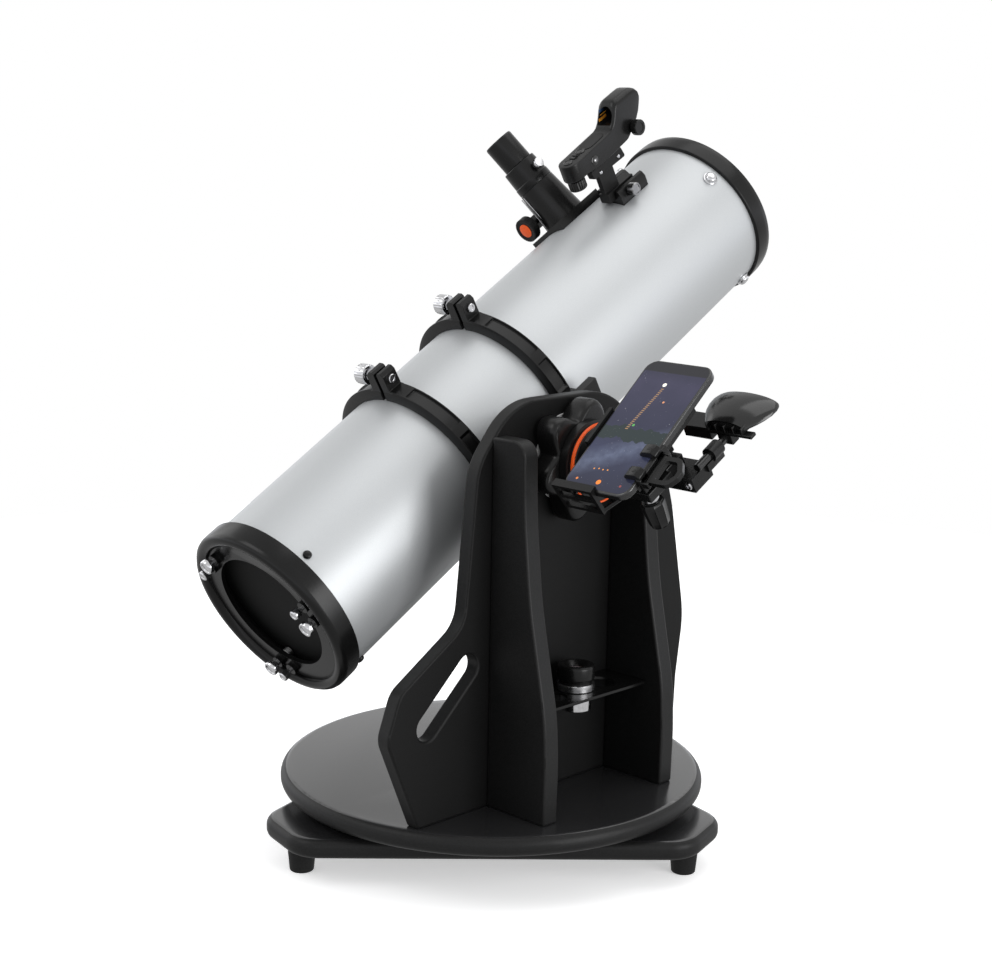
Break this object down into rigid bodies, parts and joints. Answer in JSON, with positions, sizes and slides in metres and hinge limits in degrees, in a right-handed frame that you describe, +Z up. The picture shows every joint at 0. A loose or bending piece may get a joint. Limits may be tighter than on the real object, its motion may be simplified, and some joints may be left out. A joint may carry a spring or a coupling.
{
  "type": "dobsonian telescope",
  "caption": "Tabletop reflector telescope: tube in split rings on a single-arm wooden base that turns and tilts, with focuser, red-dot finder and phone dock.",
  "frame": {"origin": "on the azimuth axis, at floor level under the middle of the ground board", "axes": "+Z up, +X along the altitude axis from the tube out through the arm, +Y the way the tube points"},
  "size_m": [0.5099, 0.7233, 0.7618],
  "materials": {
    "laminate": "black laminate with a fine grain",
    "board_top": "glossy black laminate",
    "rubber": "matte",
    "pad": "smooth low-friction plastic",
    "steel": "bright zinc",
    "tube_paint": "silver metallic paint",
    "ring_black": "satin black",
    "chrome": "polished",
    "aluminium": "satin",
    "mirror": "polished",
    "black_metal": "satin black anodised",
    "black_plastic": "fine texture",
    "orange": "glossy orange",
    "lens": "amber coated",
    "phone": null
  },
  "bodies": {
    "ground_base": {"ground_board": "laminate", "rubber_feet": "rubber", "azimuth_bolt": "steel", "glide_pads": "pad"},
    "turntable": {"turntable_board": "board_top", "arm_panel": "laminate", "rear_rib": "laminate", "front_rib": "laminate", "eyepiece_shelf": "black_metal", "base_screws": "steel", "altitude_washers": "pad"},
    "spare_eyepiece": {"spare_eyepiece": "chrome"},
    "mount_head": {"lower_ring": "black_plastic", "upper_ring": "black_plastic", "dovetail_bar": "black_metal", "altitude_saddle": "black_metal", "altitude_axle": "steel", "dock_bracket": "black_plastic"},
    "lower_clamp": {"lower_ring_knob": "aluminium"},
    "upper_clamp": {"upper_ring_knob": "aluminium"},
    "altitude_knob": {"altitude_knob": "black_plastic", "altitude_knob_trim": "orange"},
    "tube": {"optical_tube": "tube_paint", "front_ring": "ring_black", "rear_ring": "ring_black", "cell_screws": "black_metal", "spider_vanes": "black_metal", "spider_nuts": "chrome", "secondary_holder": "black_metal", "secondary_mirror": "mirror", "focuser_housing": "black_metal", "finder_shoe": "black_metal", "collimation_springs": "steel"},
    "primary_cell": {"mirror_cell": "black_metal", "primary_mirror": "mirror"},
    "collimation_knob_1": {"collimation_knob_1": "chrome"},
    "collimation_knob_2": {"collimation_knob_2": "chrome"},
    "collimation_knob_3": {"collimation_knob_3": "chrome"},
    "collimation_lock_1": {"collimation_lock_1": "chrome"},
    "collimation_lock_2": {"collimation_lock_2": "chrome"},
    "collimation_lock_3": {"collimation_lock_3": "chrome"},
    "drawtube": {"drawtube": "black_metal"},
    "drawtube_screw": {"drawtube_screw": "chrome"},
    "focus_knobs": {"focus_knobs": "black_plastic"},
    "eyepiece": {"eyepiece": "black_metal"},
    "finder_foot": {"finder_foot": "black_plastic"},
    "finder": {"finder_body": "black_plastic", "finder_lens": "lens"},
    "finder_side_knob": {"finder_side_knob": "black_plastic"},
    "finder_dial": {"finder_dial": "black_plastic"},
    "finder_shoe_screw": {"finder_shoe_screw": "chrome"},
    "dock_stage": {"dock_stage": "black_plastic"},
    "dock_knob": {"dock_knob": "black_plastic"},
    "dock_tray": {"dock_tray": "black_plastic"},
    "dock_jaw": {"dock_jaw": "black_plastic"},
    "dock_clamp": {"dock_clamp": "black_plastic"},
    "dock_lever": {"dock_lever": "black_plastic"},
    "mirror_hood": {"mirror_hood": "black_plastic", "dock_mirror": "mirror"},
    "smartphone": {"smartphone": "phone"}
  },
  "joints": [
    {"name": "azimuth_turn", "type": "hinge", "parent": "ground_base", "child": "turntable", "pos_m": [0, 0, 0.0554], "axis": [0, 0, 1], "continuous": true},
    {"name": "altitude_tilt", "type": "hinge", "parent": "turntable", "child": "mount_head", "pos_m": [-0.06, 0.004, 0.4075], "axis": [1, 0, 0], "range_deg": [-30.2, 59.8]},
    {"name": "spare_eyepiece_lift", "type": "slide", "parent": "turntable", "child": "spare_eyepiece", "axis": [0, 0, 1], "range_m": [0, 0.06]},
    {"name": "tube_slide", "type": "slide", "parent": "mount_head", "child": "tube", "axis": [0, 0.8643, 0.503], "range_m": [-0.015, 0.015]},
    {"name": "altitude_knob_turn", "type": "hinge", "parent": "mount_head", "child": "altitude_knob", "pos_m": [0.11, 0.004, 0.4075], "axis": [1, 0, 0], "continuous": true},
    {"name": "lower_clamp_turn", "type": "hinge", "parent": "mount_head", "child": "lower_clamp", "pos_m": [-0.078, -0.09951, 0.478], "axis": [1, 0, 0], "continuous": true},
    {"name": "upper_clamp_turn", "type": "hinge", "parent": "mount_head", "child": "upper_clamp", "pos_m": [-0.078, 0.00766, 0.54037], "axis": [1, 0, 0], "continuous": true},
    {"name": "primary_cell_slide", "type": "slide", "parent": "tube", "child": "primary_cell", "axis": [0, 0.8643, 0.503], "range_m": [-0.001, 0.001]},
    {"name": "collimation_knob_1_turn", "type": "hinge", "parent": "tube", "child": "collimation_knob_1", "pos_m": [-0.10494, -0.27558, 0.31134], "axis": [0, 0.8643, 0.503], "range_deg": [-720, 720]},
    {"name": "collimation_lock_1_turn", "type": "hinge", "parent": "tube", "child": "collimation_lock_1", "pos_m": [-0.11753, -0.26925, 0.30047], "axis": [0, 0.8643, 0.503], "continuous": true},
    {"name": "collimation_knob_2_turn", "type": "hinge", "parent": "tube", "child": "collimation_knob_2", "pos_m": [0.01229, -0.25175, 0.27041], "axis": [0, 0.8643, 0.503], "range_deg": [-720, 720]},
    {"name": "collimation_lock_2_turn", "type": "hinge", "parent": "tube", "child": "collimation_lock_2", "pos_m": [0.00768, -0.26039, 0.28526], "axis": [0, 0.8643, 0.503], "continuous": true},
    {"name": "collimation_knob_3_turn", "type": "hinge", "parent": "tube", "child": "collimation_knob_3", "pos_m": [-0.08735, -0.21259, 0.20313], "axis": [0, 0.8643, 0.503], "range_deg": [-720, 720]},
    {"name": "collimation_lock_3_turn", "type": "hinge", "parent": "tube", "child": "collimation_lock_3", "pos_m": [-0.07016, -0.21028, 0.19915], "axis": [0, 0.8643, 0.503], "continuous": true},
    {"name": "drawtube_slide", "type": "slide", "parent": "tube", "child": "drawtube", "axis": [-0.5299, -0.4266, 0.7329], "range_m": [0, 0.028]},
    {"name": "focus_knob_turn", "type": "hinge", "parent": "tube", "child": "focus_knobs", "pos_m": [-0.13784, 0.21094, 0.62448], "axis": [0, -0.8643, -0.503], "range_deg": [0, 410]},
    {"name": "eyepiece_pull", "type": "slide", "parent": "drawtube", "child": "eyepiece", "axis": [-0.5299, -0.4266, 0.7329], "range_m": [0, 0.04]},
    {"name": "drawtube_screw_turn", "type": "hinge", "parent": "drawtube", "child": "drawtube_screw", "pos_m": [-0.12507, 0.17965, 0.67825], "axis": [0.848, -0.2666, 0.458], "continuous": true},
    {"name": "finder_foot_slide", "type": "slide", "parent": "tube", "child": "finder_foot", "axis": [0, 0.8643, 0.503], "range_m": [0, 0.03]},
    {"name": "finder_shoe_screw_turn", "type": "hinge", "parent": "tube", "child": "finder_shoe_screw", "pos_m": [-0.0445, 0.23423, 0.65604], "axis": [1, 0, 0], "continuous": true},
    {"name": "finder_tilt", "type": "hinge", "parent": "finder_foot", "child": "finder", "pos_m": [-0.0515, 0.21959, 0.70306], "axis": [1, 0, 0], "range_deg": [-1, 1]},
    {"name": "finder_side_knob_turn", "type": "hinge", "parent": "finder", "child": "finder_side_knob", "pos_m": [-0.038, 0.24041, 0.72096], "axis": [1, 0, 0], "continuous": true},
    {"name": "finder_dial_turn", "type": "hinge", "parent": "finder", "child": "finder_dial", "pos_m": [-0.0515, 0.16564, 0.66356], "axis": [0, -0.503, 0.8643], "continuous": true},
    {"name": "dock_stage_slide", "type": "slide", "parent": "mount_head", "child": "dock_stage", "axis": [1, 0, 0], "range_m": [-0.008, 0.008]},
    {"name": "dock_knob_turn", "type": "hinge", "parent": "dock_stage", "child": "dock_knob", "pos_m": [0.226, -0.02711, 0.38939], "axis": [0, 0.503, -0.8643], "continuous": true},
    {"name": "dock_tray_slide", "type": "slide", "parent": "dock_stage", "child": "dock_tray", "axis": [0, 0.7593, 0.6508], "range_m": [-0.008, 0.008]},
    {"name": "dock_jaw_slide", "type": "slide", "parent": "dock_tray", "child": "dock_jaw", "axis": [0, -0.7593, -0.6508], "range_m": [0, 0.02]},
    {"name": "dock_clamp_slide", "type": "slide", "parent": "dock_tray", "child": "dock_clamp", "axis": [1, 0, 0], "range_m": [0, 0.012]},
    {"name": "dock_lever_turn", "type": "hinge", "parent": "dock_clamp", "child": "dock_lever", "pos_m": [0.2604, -0.06328, 0.42654], "axis": [0, 0.7593, 0.6508], "range_deg": [-80, 80]},
    {"name": "smartphone_slide", "type": "slide", "parent": "dock_tray", "child": "smartphone", "axis": [0, 0.7593, 0.6508], "range_m": [0, 0.09]},
    {"name": "mirror_hood_slide", "type": "slide", "parent": "mount_head", "child": "mirror_hood", "axis": [0, 0.8643, 0.503], "range_m": [-0.008, 0.008]}
  ],
  "couplings": [
    {"joint": "focus_knob_turn", "follows": "drawtube_slide", "rad_per_m": 250},
    {"joint": "collimation_knob_1_turn", "follows": "primary_cell_slide", "rad_per_m": -12566},
    {"joint": "collimation_knob_2_turn", "follows": "primary_cell_slide", "rad_per_m": -12566},
    {"joint": "collimation_knob_3_turn", "follows": "primary_cell_slide", "rad_per_m": -12566}
  ]
}
